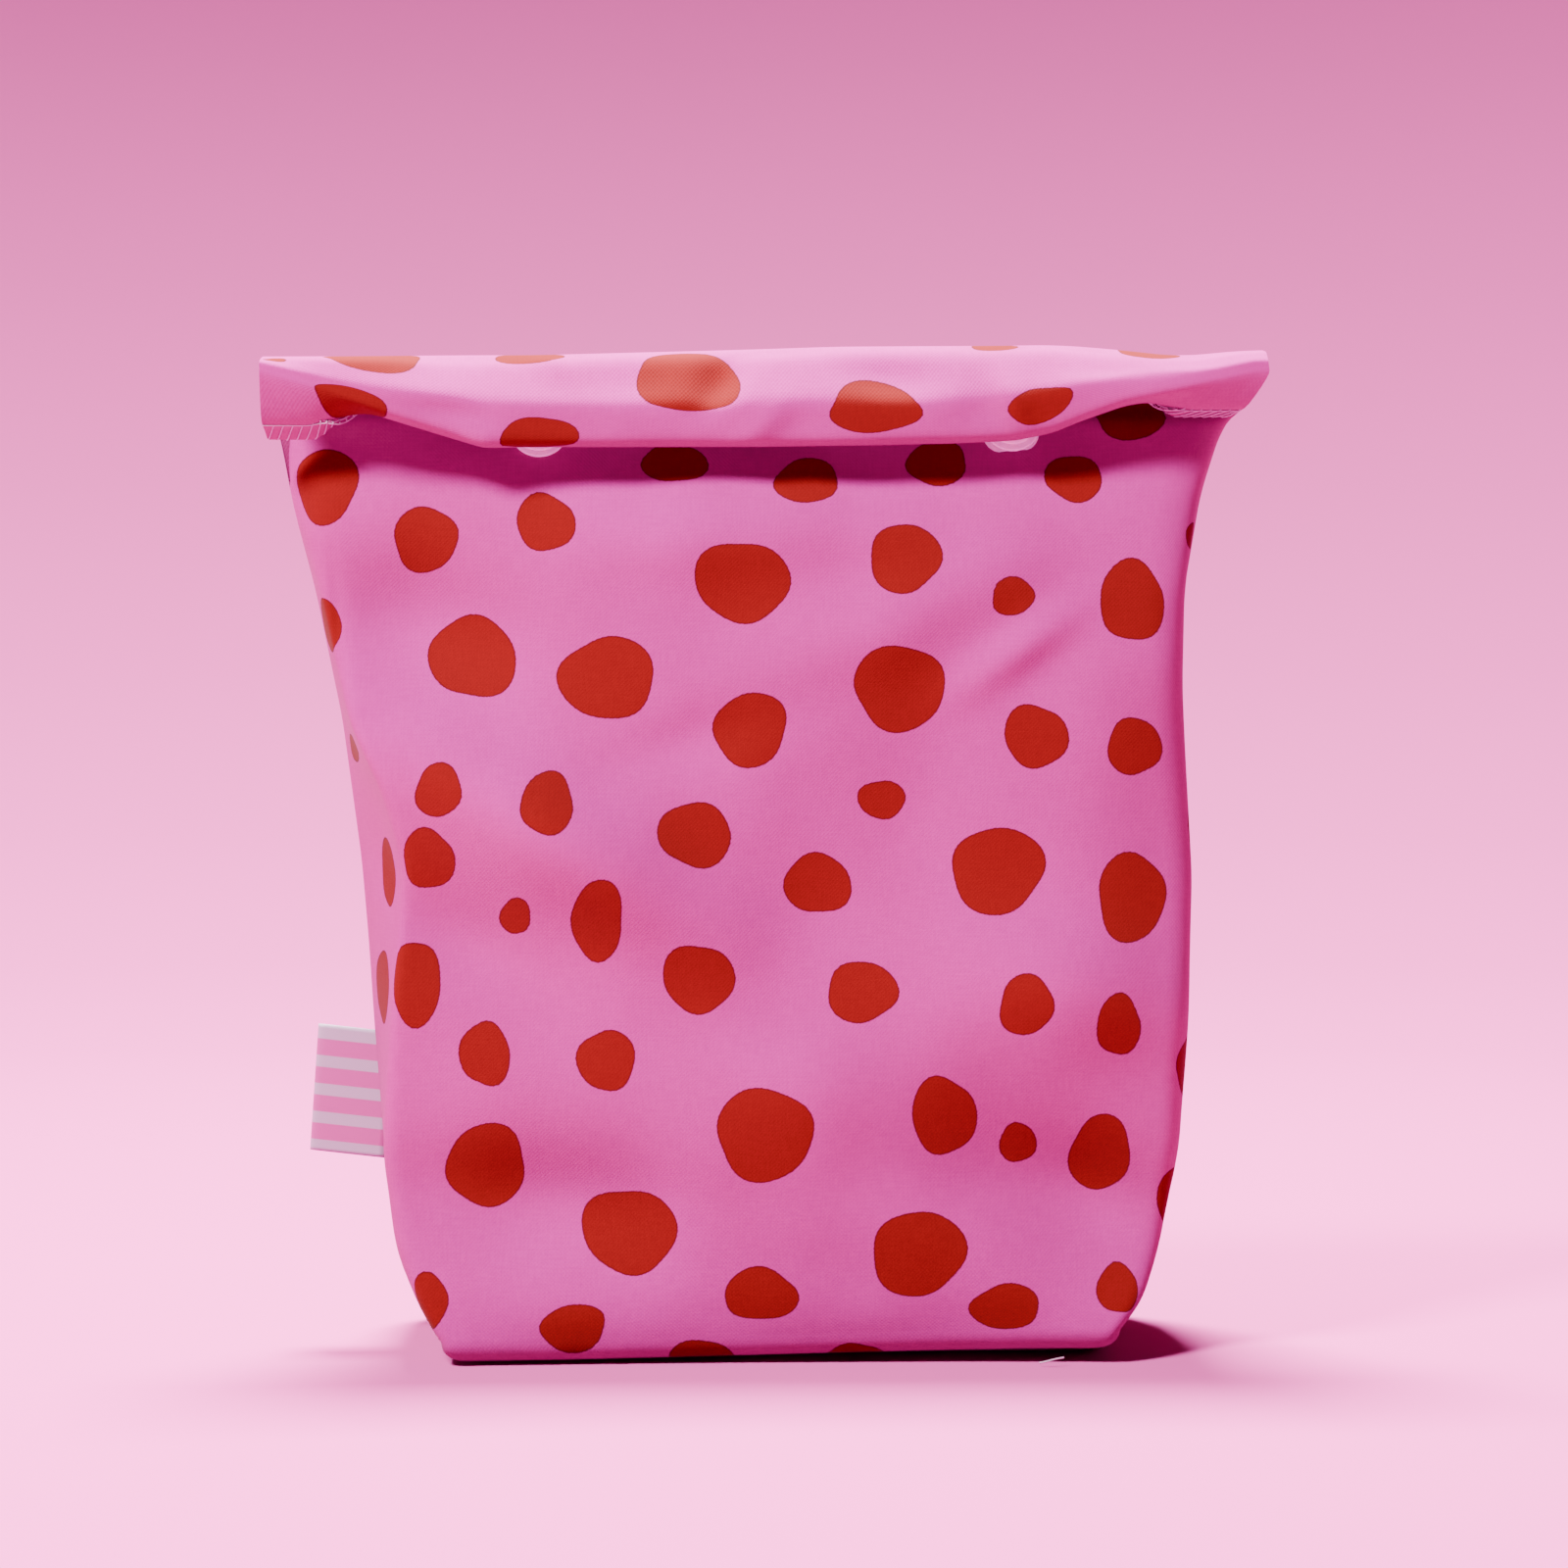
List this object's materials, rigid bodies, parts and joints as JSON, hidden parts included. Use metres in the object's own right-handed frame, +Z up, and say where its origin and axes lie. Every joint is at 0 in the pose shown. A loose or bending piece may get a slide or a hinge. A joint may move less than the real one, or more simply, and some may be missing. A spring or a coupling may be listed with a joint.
{
  "type": "lunch bag",
  "caption": "Roll-top lunch bag of thin spotted cotton with a boxed base, its mouth rolled forward and closed by plastic press snaps, with a folded ribbon label in the side seam.",
  "frame": {"origin": "on the floor under the middle of the base", "axes": "+Z up, the front with the rolled flap faces -Y, +X to the right as seen from the front"},
  "size_m": [0.212, 0.08, 0.2109],
  "materials": {
    "cotton_print": "matte plain-woven cotton, pink with irregular red spots",
    "seam_edges": "raw cotton edges bound in overlock thread",
    "overlock_thread": "spun sewing thread",
    "snap_plastic": "white moulded plastic with a soft gloss",
    "label_ribbon": "smooth printed ribbon with broad stripes"
  },
  "bodies": {
    "bag": {"front_panel": "cotton_print", "back_panel": "cotton_print", "left_side_seam": "seam_edges", "right_side_seam": "seam_edges", "base_seam": "seam_edges", "left_corner_seam": "seam_edges", "right_corner_seam": "seam_edges", "left_snap_stud": "snap_plastic", "left_snap_stud_cap": "snap_plastic", "right_snap_stud": "snap_plastic", "right_snap_stud_cap": "snap_plastic"},
    "crown": {"crown_back_layer": "cotton_print", "crown_front_layer": "cotton_print"},
    "flap": {"flap_back_layer": "cotton_print", "flap_front_layer": "cotton_print"},
    "turn_under": {"turn_under_back_layer": "cotton_print", "turn_under_front_layer": "cotton_print"},
    "hem": {"hem_back_layer": "cotton_print", "hem_front_layer": "cotton_print", "back_edge_overlock": "overlock_thread", "front_edge_overlock": "overlock_thread", "left_snap_socket": "snap_plastic", "left_snap_socket_cap": "snap_plastic", "right_snap_socket": "snap_plastic", "right_snap_socket_cap": "snap_plastic"},
    "label": {"side_label": "label_ribbon"}
  },
  "joints": [
    {"name": "crown_unroll", "type": "hinge", "parent": "bag", "child": "crown", "pos_m": [0, 0.00085, 0.2084], "axis": [-1, 0, 0], "range_deg": [0, 110]},
    {"name": "flap_unroll", "type": "hinge", "parent": "crown", "child": "flap", "pos_m": [0, -0.01319, 0.20996], "axis": [-1, 0, 0], "range_deg": [0, 79]},
    {"name": "turn_under_unroll", "type": "hinge", "parent": "flap", "child": "turn_under", "pos_m": [0, -0.01673, 0.19019], "axis": [-1, 0, 0], "range_deg": [0, 79]},
    {"name": "hem_unroll", "type": "hinge", "parent": "turn_under", "child": "hem", "pos_m": [0, -0.0116, 0.18854], "axis": [-1, 0, 0], "range_deg": [0, 80]},
    {"name": "label_swing", "type": "hinge", "parent": "bag", "child": "label", "pos_m": [-0.08519, 0, 0.0445], "axis": [-0.0714, 0, 0.9974], "range_deg": [-60, 60]}
  ],
  "couplings": [
    {"joint": "flap_unroll", "follows": "crown_unroll", "ratio": 0.71818},
    {"joint": "turn_under_unroll", "follows": "crown_unroll", "ratio": 0.71818},
    {"joint": "hem_unroll", "follows": "crown_unroll", "ratio": 0.72727}
  ]
}
